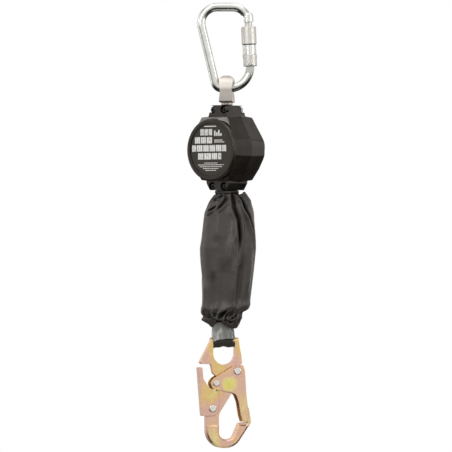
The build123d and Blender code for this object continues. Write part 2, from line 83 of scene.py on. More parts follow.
def upright_frame(along_y, origin):
    """A frame with Z up whose Y axis is the horizontal direction given."""
    y_axis = Vector(along_y).normalized()
    x_axis = y_axis.cross(Vector((0, 0, 1)))
    turn = Matrix((x_axis, y_axis, Vector((0, 0, 1)))).transposed().to_4x4()
    return Matrix.Translation(origin) @ turn


LABEL_FRAME = upright_frame(joints["drum_turn"]["axis"], node_middle("label_disc"))
HOOK_FRAME = upright_frame(joints["hook_gate_swing"]["axis"], Vector(joints["hook_swing"]["pos_m"]))


# ---------------------------------------------------------------- materials

class Finish:
    """A Principled material and the few nodes that give its surface detail."""

    def __init__(self, name, metallic=0.0, roughness=0.5, coords="Object", **sockets):
        self.name = name
        self.material = bpy.data.materials.new(name)
        self.material.use_nodes = True
        self.tree = self.material.node_tree
        self.shader = self.tree.nodes["Principled BSDF"]
        self.shader.inputs["Metallic"].default_value = metallic
        self.shader.inputs["Roughness"].default_value = roughness
        for socket, value in sockets.items():
            self.shader.inputs[socket.replace("_", " ")].default_value = value
        self.coords = self.tree.nodes.new("ShaderNodeTexCoord").outputs[coords]
        self.normal = None

    def node(self, kind, **settings):
        made = self.tree.nodes.new(kind)
        for key, value in settings.items():
            setattr(made, key, value)
        return made

    def link(self, source, target):
        self.tree.links.new(source, target)

    def noise(self, scale, detail=3.0, stretch=(1, 1, 1), distortion=0.0):
        """Noise whose features are about 1 / scale metres long."""
        mapping = self.node("ShaderNodeMapping")
        mapping.inputs["Scale"].default_value = stretch
        self.link(self.coords, mapping.inputs["Vector"])
        made = self.node("ShaderNodeTexNoise")
        made.inputs["Scale"].default_value = scale
        made.inputs["Detail"].default_value = detail
        made.inputs["Distortion"].default_value = distortion
        self.link(mapping.outputs["Vector"], made.inputs["Vector"])
        return made.outputs["Fac"]

    def patch(self, center, inner, outer):
        """1 near a place, falling to 0 at the outer distance, and reaching three times as far along Y."""
        shifted = self.node("ShaderNodeMapping", vector_type="TEXTURE")
        shifted.inputs["Location"].default_value = center
        shifted.inputs["Scale"].default_value = (1, 3, 1)
        self.link(self.coords, shifted.inputs["Vector"])
        length = self.node("ShaderNodeVectorMath", operation="LENGTH")
        self.link(shifted.outputs["Vector"], length.inputs[0])
        fall = self.node("ShaderNodeMapRange", interpolation_type="SMOOTHSTEP")
        fall.inputs["From Min"].default_value = inner
        fall.inputs["From Max"].default_value = outer
        fall.inputs["To Min"].default_value = 1
        fall.inputs["To Max"].default_value = 0
        self.link(length.outputs["Value"], fall.inputs["Value"])
        return fall.outputs["Result"]

    def wave(self, scale, direction):
        """Even ribs across one axis."""
        made = self.node("ShaderNodeTexWave", bands_direction=direction)
        made.inputs["Scale"].default_value = scale
        self.link(self.coords, made.inputs["Vector"])
        return made.outputs["Fac"]

    def math(self, operation, first, second):
        """A sum, product or the like of two values, each a number or a node's output."""
        made = self.node("ShaderNodeMath", operation=operation)
        for socket, value in zip(made.inputs, (first, second)):
            if isinstance(value, (int, float)):
                socket.default_value = value
            else:
                self.link(value, socket)
        return made.outputs["Value"]

    def ramp(self, fac, stops):
        """Colours along a value, as (place, colour)."""
        made = self.node("ShaderNodeValToRGB")
        ramp = made.color_ramp
        while len(ramp.elements) < len(stops):
            ramp.elements.new(0.5)
        for element, (place, color) in zip(ramp.elements, stops):
            element.position = place
            element.color = (*color, 1)
        self.link(fac, made.inputs["Fac"])
        return made.outputs["Color"]

    def color(self, fac, stops):
        self.link(self.ramp(fac, stops), self.shader.inputs["Base Color"])

    def color_with_painted_shade(self, fac, stops, reach, shade=0.35):
        """Colours as above, with painted shade that darkens corners and gaps up to this far across."""
        gap = self.node("ShaderNodeAmbientOcclusion", samples=6)
        gap.inputs["Distance"].default_value = reach
        # painted shade: the colour is darker where nearby surfaces hem this one in
        painted_shade = self.ramp(gap.outputs["AO"], ((0.35, (shade, shade, shade)), (0.85, (1, 1, 1))))
        mixed = self.node("ShaderNodeMixRGB", blend_type="MULTIPLY")
        mixed.inputs["Fac"].default_value = 1
        self.link(self.ramp(fac, stops), mixed.inputs["Color1"])
        self.link(painted_shade, mixed.inputs["Color2"])
        self.link(mixed.outputs["Color"], self.shader.inputs["Base Color"])

    def roughness(self, fac, low, high):
        """Roughness between two values, following noise, which mostly lies between 0.3 and 0.7."""
        made = self.node("ShaderNodeMapRange")
        made.inputs["From Min"].default_value = 0.3
        made.inputs["From Max"].default_value = 0.7
        made.inputs["To Min"].default_value = low
        made.inputs["To Max"].default_value = high
        self.link(fac, made.inputs["Value"])
        self.link(made.outputs["Result"], self.shader.inputs["Roughness"])

    def soft_edges(self, radius):
        """Edges catch the light as if rounded by this radius."""
        made = self.node("ShaderNodeBevel", samples=4)
        made.inputs["Radius"].default_value = radius
        self.normal = made.outputs["Normal"]
        self.link(self.normal, self.shader.inputs["Normal"])

    def bump(self, height, depth):
        """A height map of this depth in metres, on top of the bumps before it."""
        made = self.node("ShaderNodeBump")
        made.inputs["Strength"].default_value = 1
        made.inputs["Distance"].default_value = depth
        self.link(height, made.inputs["Height"])
        if self.normal is not None:
            self.link(self.normal, made.inputs["Normal"])
        self.normal = made.outputs["Normal"]
        self.link(self.normal, self.shader.inputs["Normal"])


def steel(name, dark, light, roughness, grain, stretch=(1, 1, 1)):
    """Plated or plain steel: cloudy tone with painted shade in its corners, handling marks and a fine grain, which
    stretch can draw out.
    """
    made = Finish(name, metallic=1.0)
    # painted shade darkens the steel's corners and gaps within 1.6 mm
    made.color_with_painted_shade(made.noise(90, 4), ((0.3, dark), (0.7, light)), 1.6 * MM)
    made.roughness(made.noise(260, 5, stretch), *roughness)
    made.bump(made.noise(2600, 2, stretch), 0.004 * MM * grain)
    made.bump(made.noise(330, 3), 0.009 * MM * grain)
    return made


def plastic(name, dark, light, roughness, grain_depth, **sockets):
    """Moulded plastic: slight tone change, polished and scuffed areas, orange peel and fine grain."""
    made = Finish(name, **sockets)
    made.color(made.noise(60, 4), ((0.35, dark), (0.65, light)))
    made.roughness(made.noise(140, 6), *roughness)
    made.soft_edges(0.5 * MM)
    made.bump(made.noise(110, 2), 0.010 * MM)
    made.bump(made.noise(3000, 2), grain_depth)
    return made


COVER_SHADE_REACH = 10 * MM      # how wide a fold of the cover may be and still get painted shade inside


def cover_cloth():
    """Plain woven nylon with a satin face: fine threads, with painted shade darkening the folds."""
    made = Finish("cover_fabric", coords="UV")
    made.shader.inputs["Sheen Weight"].default_value = 0.12
    made.shader.inputs["Sheen Roughness"].default_value = 0.35
    made.shader.inputs["Sheen Tint"].default_value = (1.0, 0.93, 0.88, 1)
    weave = made.math("MULTIPLY", made.wave(330, "X"), made.wave(330, "Y"))
    blotches = made.noise(38, 4)
    tone = made.math("ADD", made.math("MULTIPLY", weave, 0.35), made.math("MULTIPLY", blotches, 0.65))
    cloth = ((0.25, (0.048, 0.041, 0.037)), (0.70, (0.072, 0.062, 0.056)))
    # painted shade: strong darkening inside the cover's folds and creases
    made.color_with_painted_shade(tone, cloth, COVER_SHADE_REACH, shade=0.05)
    made.roughness(made.noise(60, 3), 0.33, 0.46)
    made.bump(weave, 0.03 * MM)
    made.bump(made.noise(260, 3), 0.06 * MM)
    return made


def ribbed(name, dark, light, ribs, depth):
    """Narrow webbing: ribs along it with finer slanting threads."""
    made = Finish(name)
    made.shader.inputs["Sheen Weight"].default_value = 0.25
    rib = made.wave(ribs, "X")
    slant = made.wave(ribs * 1.7, "DIAGONAL")
    weave = made.math("ADD", made.math("MULTIPLY", rib, 0.6), made.math("MULTIPLY", slant, 0.4))
    made.color(weave, ((0.2, dark), (0.8, light)))
    made.roughness(made.noise(400, 3), 0.55, 0.8)
    made.bump(weave, depth)
    return made


GREEN_PATCH_SHIFT = Vector((1.3, 0, 12.5)) * MM    # from the middle of the hook's gate to its plate's middle


def yellow_zinc():
    """Zinc with a yellow passivate: gold, peach, pink and green drift over the forging, with painted shade in its
    corners.
    """
    made = Finish("yellow_zinc", metallic=1.0)
    drift = made.noise(30, 3, (1, 1, 0.5), 0.5)
    greener = made.patch(node_middle("hook_gate") + GREEN_PATCH_SHIFT, inner=2 * MM, outer=15 * MM)
    # painted shade darkens the zinc's corners and gaps within 2.2 mm
    made.color_with_painted_shade(made.math("ADD", drift, made.math("MULTIPLY", greener, 0.34)), (
        (0.30, (0.86, 0.80, 0.36)),
        (0.38, (0.90, 0.64, 0.26)),
        (0.46, (0.90, 0.58, 0.38)),
        (0.53, (0.84, 0.54, 0.46)),
        (0.60, (0.88, 0.60, 0.38)),
        (0.70, (0.92, 0.78, 0.36)),
        (0.80, (0.88, 0.80, 0.22)),
        (0.95, (0.84, 0.84, 0.16)),
    ), 2.2 * MM, shade=0.25)
    made.roughness(made.noise(300, 5), 0.24, 0.42)
    made.soft_edges(0.45 * MM)
    made.bump(made.noise(300, 2), 0.04 * MM)
    made.bump(made.noise(2400, 2), 0.004 * MM)
    return made


def clear_sleeve():
    """Thin heat shrunk plastic, clear but hazy, with painted highlight streaks."""
    made = Finish("clear_sleeve")
    made.shader.inputs["Transmission Weight"].default_value = 0.30
    made.shader.inputs["IOR"].default_value = 1.45
    highlight_streaks = made.noise(170, 2, (1, 1, 0.28), 0.3)      # long creases with painted highlights, white where they are sharpest, and some whitening of the plastic
    made.color(highlight_streaks, (
        (0.32, (0.25, 0.255, 0.245)),
        (0.52, (0.34, 0.345, 0.33)),
        (0.60, (0.46, 0.465, 0.45)),
        (0.68, (0.88, 0.88, 0.87)),
    ))
    made.roughness(made.noise(200, 3), 0.06, 0.16)
    made.bump(made.noise(130, 2), 0.22 * MM)
    return made


def label_ink():
    """Screen printed white ink, thin and worn in places."""
    made = Finish("label_ink", roughness=0.45)
    made.color(made.noise(420, 6), (
        (0.30, (0.42, 0.42, 0.41)),
        (0.44, (0.86, 0.86, 0.84)),
        (0.70, (0.92, 0.92, 0.90)),
    ))
    made.bump(made.noise(2500, 2), 0.01 * MM)
    return made


WARM = {"Specular_Tint": (1.0, 0.92, 0.86, 1)}      # the brown cast of the black plastic's shine

FINISHES = {made.name: made for made in (
    label_ink(),
    steel("zinc_steel", (0.75, 0.76, 0.73), (0.87, 0.88, 0.85), (0.16, 0.26), 0.3),
    steel("satin_steel", (0.70, 0.68, 0.65), (0.78, 0.76, 0.73), (0.40, 0.52), 0.8),
    steel("nickel_steel", (0.62, 0.57, 0.53), (0.72, 0.67, 0.63), (0.42, 0.52), 0.5),
    steel("plain_steel", (0.40, 0.41, 0.42), (0.55, 0.56, 0.57), (0.28, 0.40), 1.0, (1, 1, 8)),
    steel("spring_steel", (0.20, 0.20, 0.21), (0.34, 0.34, 0.35), (0.25, 0.40), 0.8),
    steel("bush_bronze", (0.50, 0.33, 0.16), (0.64, 0.45, 0.24), (0.30, 0.45), 1.2),
    steel("rivet_steel", (0.66, 0.63, 0.61), (0.82, 0.80, 0.79), (0.10, 0.20), 0.8),
    plastic("black_nylon", (0.014, 0.0115, 0.010), (0.024, 0.020, 0.0175), (0.10, 0.18), 0.0015 * MM, **WARM),
    plastic("cover_nylon", (0.012, 0.009, 0.0075), (0.020, 0.0165, 0.014), (0.12, 0.20), 0.0015 * MM, **WARM),
    plastic("label_film", (0.018, 0.014, 0.011), (0.026, 0.021, 0.017), (0.30, 0.40), 0.012 * MM, **WARM),
    plastic("drum_nylon", (0.05, 0.05, 0.05), (0.09, 0.09, 0.09), (0.40, 0.55), 0.03 * MM),
    plastic("black_screws", (0.004, 0.004, 0.004), (0.010, 0.009, 0.009), (0.06, 0.14), 0.004 * MM),
    plastic("stop_rubber", (0.012, 0.012, 0.012), (0.022, 0.022, 0.022), (0.60, 0.75), 0.05 * MM),
    ribbed("webbing", (0.008, 0.0075, 0.007), (0.030, 0.028, 0.027), 340, 0.20 * MM),
    ribbed("absorber_web", (0.03, 0.03, 0.03), (0.09, 0.09, 0.09), 300, 0.20 * MM),
    cover_cloth(),
    yellow_zinc(),
    clear_sleeve(),
)}


def paint(piece, slot):
    """The piece takes the finish of a material slot."""
    piece.data.materials.clear()
    piece.data.materials.append(FINISHES[slot].material)
    return piece


def slot_of(name):
    """The material slot of a CAD node."""
    return next(row["material_slot"] for row in frame["record"]["subparts"] if row["node"] == name)


def finish_cad_nodes():
    """Every CAD node keeps its shape and gets the detailed material of its slot."""
    for row in frame["record"]["subparts"]:
        node = nodes[row["node"]]
        material = FINISHES[row["material_slot"]].material
        if not node.material_slots:
            node.data.materials.append(material)
        for place in node.material_slots:
            place.material = material


# ---------------------------------------------------------------- mesh helpers

def smooth(piece):
    for polygon in piece.data.polygons:
        polygon.use_smooth = True
    return piece


def tube_piece(name, points, size):
    """A tube of quads through rings of points, with UVs that run round and along it in metres."""
    rows, columns = points.shape[:2]
    girth, length = size
    faces = []
    places = []
    for r in range(rows - 1):
        low, high = r / (rows - 1) * length, (r + 1) / (rows - 1) * length
        for c in range(columns):
            d = (c + 1) % columns
            faces.append((r * columns + c, r * columns + d, (r + 1) * columns + d, (r + 1) * columns + c))
            left, right = c / columns * girth, (c + 1) / columns * girth
            places += [(left, low), (right, low), (right, high), (left, high)]
    mesh = bpy.data.meshes.new(name)
    mesh.from_pydata(points.reshape(-1, 3).tolist(), [], faces)
    layer = mesh.uv_layers.new(name="UVMap")
    layer.data.foreach_set("uv", np.array(places, float).ravel())
    mesh.update()
    piece = bpy.data.objects.new(name, mesh)
    bpy.context.collection.objects.link(piece)
    return smooth(piece)


def mesh_piece(name, made, slot, body):
    """A bmesh as a painted piece that rides a body."""
    mesh = bpy.data.meshes.new(name)
    bmesh.ops.recalc_face_normals(made, faces=made.faces)
    made.to_mesh(mesh)
    made.free()
    piece = bpy.data.objects.new(name, mesh)
    bpy.context.collection.objects.link(piece)
    paint(piece, slot)
    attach(piece, body)
    return piece


def apply_modifiers(piece):
    """Fixes the piece's modifiers into its mesh."""
    graph = bpy.context.evaluated_depsgraph_get()
    made = bpy.data.meshes.new_from_object(piece.evaluated_get(graph))
    piece.modifiers.clear()
    piece.data = made
    return piece


def thicken(piece, thickness):
    """Gives a surface this thickness, all of it on its inside."""
    shell = piece.modifiers.new("thickness", "SOLIDIFY")
    shell.thickness = thickness
    shell.offset = -1
    return apply_modifiers(piece)


def bell(distance, width):
    """1 at no distance, falling smoothly to 0."""
    return np.exp(-(distance / width) ** 2)


def rise(value, low, high):
    """0 below low, 1 above high, smooth between."""
    t = np.clip((value - low) / (high - low), 0, 1)
    return t * t * (3 - 2 * t)


# ---------------------------------------------------------------- fabric cover

COVER_LOW, COVER_HIGH = (Vector(corner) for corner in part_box("fabric_cover"))
COVER_HEIGHT = COVER_HIGH.z - COVER_LOW.z
COVER_HALF_X = (COVER_HIGH.x - COVER_LOW.x) / 2
COVER_HALF_Y = (COVER_HIGH.y - COVER_LOW.y) / 2
COVER_MIDDLE = (COVER_LOW + COVER_HIGH) / 2
COVER_ROWS, COVER_COLUMNS = 190, 250

# Share of the height from the top, then how far the cover reaches to the left, to the right and to the front,
# as shares of its half width and half depth
COVER_SECTIONS = np.array((
    (0.000, 0.45, 0.57, 0.60), (0.030, 0.57, 0.69, 0.64), (0.055, 0.66, 0.80, 0.72), (0.090, 0.75, 0.86, 0.81),
    (0.130, 0.83, 0.91, 0.88), (0.220, 0.87, 0.95, 0.95), (0.310, 0.93, 0.98, 0.99), (0.390, 0.98, 0.99, 1.00),
    (0.500, 0.96, 0.96, 0.99), (0.600, 0.92, 0.90, 0.97), (0.700, 0.91, 0.84, 0.95), (0.810, 0.92, 0.77, 0.92),
    (0.845, 0.93, 0.70, 0.88), (0.870, 0.92, 0.54, 0.80), (0.900, 0.89, 0.43, 0.75), (0.930, 0.84, 0.43, 0.74),
    (0.965, 0.75, 0.40, 0.68), (1.000, 0.60, 0.32, 0.56),
))

# Folds: the depth in millimetres, the width in millimetres, how much higher the cloth lies on the fold's right
# than on its left, from -1 to 1, and the fold's way down the cover as (degrees, share of the height). The angle
# is 0 on the right and 90 at the front.
FOLDS = (
    (5.6, 2.7, -0.3, ((84, 0.00), (81, 0.09), (71, 0.18), (69, 0.32), (70, 0.50))),
    (6.4, 3.2, 0.7, ((62, 0.00), (52, 0.09), (38, 0.17), (27, 0.28), (18, 0.44))),
    (3.0, 3.0, 0.2, ((77, 0.28), (80, 0.54))),
    (4.0, 2.2, -0.6, ((154, 0.130), (138, 0.110), (120, 0.080))),
    (4.8, 2.5, -0.6, ((119, 0.118), (108, 0.080), (94, 0.02))),
    (2.8, 1.6, -0.4, ((132, 0.036), (108, 0.012))),
    (2.6, 1.6, 0.4, ((150, 0.022), (126, 0.052))),
    (2.4, 1.5, 0.0, ((103, 0.00), (101, 0.04))),
    (2.4, 1.5, 0.0, ((70, 0.00), (69, 0.07))),
    (3.0, 1.8, 0.3, ((40, 0.00), (36, 0.09))),
    (4.2, 2.2, 0.5, ((95, 0.908), (89, 0.88), (82, 0.85))),
    (3.6, 1.8, -0.5, ((82, 0.935), (80, 0.90), (74, 0.868))),
    (4.0, 1.9, 0.5, ((62, 0.915), (40, 0.885))),
    (3.0, 1.6, 0.0, ((82, 0.935), (63, 0.948), (47, 0.928))),
    (3.6, 1.8, -0.5, ((124, 0.892), (116, 0.91), (106, 0.95))),
    (2.6, 1.6, 0.3, ((158, 0.89), (140, 0.90), (120, 0.915))),
    (2.0, 1.6, 0.0, ((20, 0.88), (24, 0.96))),
    (2.4, 1.8, 0.0, ((178, 0.90), (170, 0.98))),
    (4.6, 3.0, 0.5, ((208, 0.00), (214, 0.16), (208, 0.48))),
    (4.2, 2.8, -0.5, ((246, 0.00), (240, 0.12), (232, 0.36))),
    (4.8, 3.0, 0.6, ((281, 0.00), (273, 0.18), (266, 0.55))),
    (3.8, 2.6, -0.4, ((312, 0.00), (318, 0.10), (312, 0.40))),
    (3.2, 2.4, 0.4, ((340, 0.02), (334, 0.20), (338, 0.50))),
    (3.6, 2.2, 0.4, ((222, 0.96), (230, 0.89), (250, 0.80))),
    (3.8, 2.2, -0.4, ((292, 0.95), (284, 0.88), (270, 0.78))),
    (3.2, 2.0, 0.4, ((338, 0.94), (326, 0.88), (318, 0.80))),
)

# The shape across a fold: how sharp its valley is, how high its lips are and how much its lean changes that, in
# depths of the fold, and where the lips are and how wide, in widths of the fold
VALLEY_SHARPNESS = 1.7
LIP_HEIGHT, LIP_LEAN = 0.50, 0.32
LIP_PLACE, LIP_WIDTH = 1.3, 0.85
FOLD_FAINTEST = 0.12        # what is left of a fold's depth at its faded end

# Broad swells between the folds: height in millimetres, place and half width in degrees, and the shares of the
# cover's height where they start and end
SWELLS = (
    (3.6, 79, 7, 0.12, 0.90), (-4.2, 60, 8, 0.42, 0.90), (2.8, 40, 9, 0.20, 0.80), (-2.8, 98, 10, 0.45, 0.90),
    (2.6, 146, 12, 0.62, 0.90), (-2.6, 122, 9, 0.55, 0.90), (1.6, 112, 10, 0.06, 0.36), (1.4, 225, 14, 0.15, 0.85),
    (-1.5, 255, 12, 0.30, 0.85), (1.3, 290, 12, 0.20, 0.90), (-1.2, 325, 12, 0.35, 0.85),
)
# Small wrinkles all over the cloth: how many to the metre, and their height in millimetres
WRINKLES = ((48, 0.55), (170, 0.10))

# How far the hems are raised at places round them: millimetres, then place and half width in degrees
TOP_HEM = ((2.3, 108, 34), (4.2, 8, 30), (2.4, 262, 62))
LOW_HEM = ((9.2, 108, 27), (1.8, 190, 40), (3.0, 265, 30))
LOW_HEM_RAISED = 2.0        # millimetres, all the way round
CLOTH_THICK = 0.5 * MM
SQUARENESS = 0.86           # under 1, the cover is a little boxier than an ellipse

PLEATS = 17                 # gathers round the top
LOW_PLEATS = 1.06           # times as many at the bottom
ELASTICS = (0.032, 0.90)    # shares of the cover's height where its two elastics lie
BAND_ROWS = 3               # half the width of an elastic, in rows of the cloth
BAND_INSET, BAND_THICK = 0.06, 0.03      # shares of the distance to the cover's middle
STITCH_LINES = (0.018, 0.046, 0.885, 0.915)     # the sewn lines beside them
STITCH_WIDE, STITCH_PROUD = 0.30 * MM, 0.22 * MM
STITCH_LENGTH, STITCH_PITCH = 3, 4       # in rows or columns of the cloth
SEAM_DEGREES = 262          # the cover's upright seam, at the back
FOLD_GIRTH = 2 * math.pi * (COVER_HALF_X + COVER_HALF_Y) / 2


def cover_profile(down):
    """How far the cover reaches left, right and forward at a share of its height, rounding off the sections."""
    places = np.linspace(0, 1, 400)
    reach = 5                   # places to each side that share in the rounding
    kernel = np.hanning(2 * reach + 1)
    kernel /= kernel.sum()
    columns = []
    for column in COVER_SECTIONS.T[1:]:
        line = np.interp(places, COVER_SECTIONS[:, 0], column)
        line = np.convolve(np.pad(line, reach, mode="edge"), kernel, mode="valid")
        columns.append(np.interp(down, places, line))
    return columns


def fold_push(degrees, down, depth, width, lean, way):
    """How far one fold moves the cloth out: a narrow valley with a rolled lip on each side.

    The nearest stretch of the fold's way gives a point's distance, its side and how far along the fold it is.
    """
    across = FOLD_GIRTH / 360 / MM              # millimetres round the cover for one degree
    nearest = np.full(np.broadcast(degrees, down).shape, 1e6)
    side = np.zeros_like(nearest)
    along = np.zeros_like(nearest)
    pieces = len(way) - 1
    for i, ((a0, d0), (a1, d1)) in enumerate(zip(way, way[1:])):
        off = ((degrees - a0 + 180) % 360 - 180) * across
        fall = (down - d0) * COVER_HEIGHT / MM
        run, drop = (a1 - a0) * across, (d1 - d0) * COVER_HEIGHT / MM
        share = np.clip((off * run + fall * drop) / (run * run + drop * drop), 0, 1)
        distance = np.hypot(off - share * run, fall - share * drop)
        turn = np.sign((off - share * run) * drop - (fall - share * drop) * run) * math.copysign(1, drop)
        closer = distance < nearest
        nearest = np.where(closer, distance, nearest)
        side = np.where(closer, turn, side)
        along = np.where(closer, (i + share) / pieces, along)
    near = nearest / width
    valley = -np.exp(-near * VALLEY_SHARPNESS)
    lips = (LIP_HEIGHT + LIP_LEAN * lean * side) * bell(near - LIP_PLACE, LIP_WIDTH)
    if way[0][1] < 0.05 or way[0][1] > 0.9:
        fade = 1 - rise(along, 0.70, 1.0)           # from the hem or the elastic, fading into the body
    else:
        fade = rise(along, 0.0, 0.35) * (1 - rise(along, 0.65, 1.0))        # fading at both ends
    strength = FOLD_FAINTEST + (1 - FOLD_FAINTEST) * fade
    return depth * strength * (valley + lips) * (nearest < 6 * width)


def cover_points():
    """The gathered cloth, as rows of points from its top hem to its bottom hem."""
    down = np.linspace(0, 1, COVER_ROWS)[:, None]
    around = np.linspace(0, 2 * math.pi, COVER_COLUMNS, endpoint=False)[None, :]
    left, right, front = cover_profile(down)
    middle, half_x = (right - left) / 2, (right + left) / 2
    degrees = np.degrees(around)
    cos, sin = np.cos(around), np.sin(around)
    x = np.sign(cos) * np.abs(cos) ** SQUARENESS
    y = -np.sign(sin) * np.abs(sin) ** SQUARENESS

    def toward(place, width):
        """1 at a place round the cover, in degrees, falling off to both sides."""
        return bell((degrees - place + 180) % 360 - 180, width)

    elastic = 0.886 - 0.013 * cos                   # the lower elastic sits a little higher on the right
    wander = 0.30 * np.sin(3 * around + 0.6) + 0.18 * np.sin(5 * around + 2.0)
    phase = PLEATS * (around + 0.09 * wander)       # unevenly spaced gathers
    low_pleats = np.cos(phase * LOW_PLEATS + 0.8)
    top_gather = 1 - rise(down, 0.01, 0.11)
    low_gather = rise(down, elastic - 0.05, elastic)
    push = 0.95 * top_gather * np.cos(phase) * (1 + 0.5 * np.sin(2 * around + 1.0))
    push = push + 1.15 * low_gather * low_pleats
    # drawn in at the elastic, puffed out above and below it
    push = push - 1.5 * bell(down - elastic, 0.012) + 1.3 * bell(down - elastic + 0.045, 0.03)
    push = push + 1.5 * bell(down - elastic - 0.035, 0.02)
    for fold in FOLDS:
        push = push + fold_push(degrees, down, *fold)
    for height, place, width, start, end in SWELLS:
        length = end - start
        push = push + height * toward(place, width) * rise(down, start, start + 0.3 * length) * (
            1 - rise(down, end - 0.3 * length, end))

    radius_x = half_x * COVER_HALF_X + push * MM
    radius_y = front * COVER_HALF_Y + push * MM
    points = np.empty((COVER_ROWS, COVER_COLUMNS, 3))
    points[..., 0] = COVER_MIDDLE.x + middle * COVER_HALF_X + x * radius_x
    points[..., 1] = COVER_MIDDLE.y + y * radius_y
    hem_top = sum(height * toward(place, width) for height, place, width in TOP_HEM)
    hem_low = sum(height * toward(place, width) for height, place, width in LOW_HEM) + LOW_HEM_RAISED
    points[..., 2] = (
        COVER_HIGH.z - down * COVER_HEIGHT
        + MM * (hem_top + 0.35 * np.cos(phase)) * (1 - rise(down, 0.0, 0.14))
        + MM * (hem_low + 0.8 * low_pleats) * rise(down, 0.91, 1.0)
    )
    for row in points:
        for point in row:
            wrinkle = sum(noise.noise(Vector(point) * many) * height for many, height in WRINKLES)
            outward = Vector((point[0] - COVER_MIDDLE.x, point[1] - COVER_MIDDLE.y, 0))
            point[:2] += (outward.normalized() * wrinkle * MM)[:2]
    return points


def make_elastics(points):
    """The elastic in each end of the cover: a narrow band just inside the cloth, following its gathers."""
    made = bmesh.new()
    for share in ELASTICS:
        row = round(share * (COVER_ROWS - 1))
        middle = points[row].mean(axis=0)
        upper, lower = (
            points[row + step] * (1 - BAND_INSET) + middle * BAND_INSET for step in (-BAND_ROWS, BAND_ROWS))
        inner = [edge * (1 - BAND_THICK) + middle * BAND_THICK for edge in (lower, upper)]
        rings = [[made.verts.new(tuple(point)) for point in ring] for ring in (upper, lower, *inner)]
        for one, two in zip(rings, rings[1:] + rings[:1]):
            for c in range(COVER_COLUMNS):
                d = (c + 1) % COVER_COLUMNS
                made.faces.new((one[c], one[d], two[d], two[c]))
    bands = mesh_piece("gather_elastics", made, slot_of("hem_elastics"), "line")
    smooth(bands)
    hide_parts("hem_elastics")
    return bands


def add_stitch(made, start, end, out):
    """One stitch: a thread between two points of the cloth, fullest in the middle."""
    start, end, out = Vector(start), Vector(end), Vector(out).normalized()
    side = (end - start).cross(out).normalized()
    middle = (start + end) / 2 + out * STITCH_PROUD * 0.6
    tips = [made.verts.new(tip - out * STITCH_PROUD * 0.4) for tip in (start, end)]
    ring = [made.verts.new(middle + step) for step in (
        side * STITCH_WIDE, out * STITCH_PROUD, -side * STITCH_WIDE, -out * STITCH_PROUD)]
    for i in range(4):
        j = (i + 1) % 4
        made.faces.new((tips[0], ring[i], ring[j]))
        made.faces.new((tips[1], ring[j], ring[i]))


def make_stitches(points):
    """The thread of the cover: two lines beside each elastic, and a double line up the seam at the back."""
    made = bmesh.new()
    for share in STITCH_LINES:
        row = round(share * (COVER_ROWS - 1))
        middle = points[row].mean(axis=0)
        for c in range(0, COVER_COLUMNS, STITCH_PITCH):
            start, end = points[row, c], points[row, (c + STITCH_LENGTH) % COVER_COLUMNS]
            add_stitch(made, start, end, (start + end) / 2 - middle)
    seam = round(SEAM_DEGREES / 360 * COVER_COLUMNS)
    for c in (seam - 2, seam + 2):
        for row in range(STITCH_PITCH, COVER_ROWS - 6, STITCH_PITCH):
            start, end = points[row, c], points[row + STITCH_LENGTH, c]
            add_stitch(made, start, end, start - points[row].mean(axis=0))
    thread = mesh_piece("cover_stitches", made, "webbing", "line")
    return smooth(thread)


def make_cover():
    """The cover over the energy absorber: one tube of woven nylon, drawn in by elastic at both ends."""
    points = cover_points()
    make_elastics(points)
    make_stitches(points)
    cover = tube_piece("gathered_cover", points, (FOLD_GIRTH, COVER_HEIGHT))
    thicken(cover, CLOTH_THICK)
    smooth(cover)
    paint(cover, "cover_fabric")
    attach(cover, "line")
    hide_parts("fabric_cover")
    return cover


# ---------------------------------------------------------------- webbing

def strip(name, middle_line, across, width, thickness, columns, ripple=None):
    """Flat webbing along a line of points.

    across is its width direction. ripple gives what to add to a point, from its share of the length and its
    place across, which goes from -1 to 1. The section is flat, and thins to a quarter at its very edges.
    """
    rows = len(middle_line)
    profile = []
    for c in range(columns + 1):
        share = c / columns * 2 - 1
        profile.append((share * width / 2, thickness / 2 * (1 - 0.75 * abs(share) ** 14)))
    section = profile + [(x, -y) for x, y in reversed(profile)]
    points = np.empty((rows, len(section), 3))
    for r, point in enumerate(middle_line):
        ahead = Vector(middle_line[min(r + 1, rows - 1)]) - Vector(middle_line[max(r - 1, 0)])
        out = Vector(across).cross(ahead).normalized()
        for s, (x, y) in enumerate(section):
            place = Vector(point) + Vector(across) * x + out * y
            if ripple is not None:
                place += ripple(r / (rows - 1), x / (width / 2))
            points[r, s] = place
    length = sum((Vector(b) - Vector(a)).length for a, b in zip(middle_line, middle_line[1:]))
    return tube_piece(name, points, (2 * width, length))


def close_ends(piece):
    """Fills the open ends of a tube."""
    made = bmesh.new()
    made.from_mesh(piece.data)
    bmesh.ops.holes_fill(made, edges=[edge for edge in made.edges if edge.is_boundary], sides=0)
    bmesh.ops.recalc_face_normals(made, faces=made.faces)
    made.to_mesh(piece.data)
    made.free()
    return piece


LEAD_WIDTH, LEAD_THICK = 19.6 * MM, 1.3 * MM
LOOP_WIDTH, LOOP_THICK = 25.4 * MM, 2.1 * MM


def make_web_lead():
    """The line where it comes out of the nozzle, on its way into the cover."""
    low, high = (Vector(corner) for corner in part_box("web_lead"))
    across = Vector(joints["drum_turn"]["axis"])
    middle = (low + high) / 2
    steps = 40
    line = [(middle.x, middle.y, high.z + (low.z - high.z) * i / steps) for i in range(steps + 1)]
    lead = close_ends(strip("line_webbing", line, across, LEAD_WIDTH, LEAD_THICK, columns=24))
    paint(lead, "webbing")
    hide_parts("web_lead")
    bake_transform(lead)
    return lead


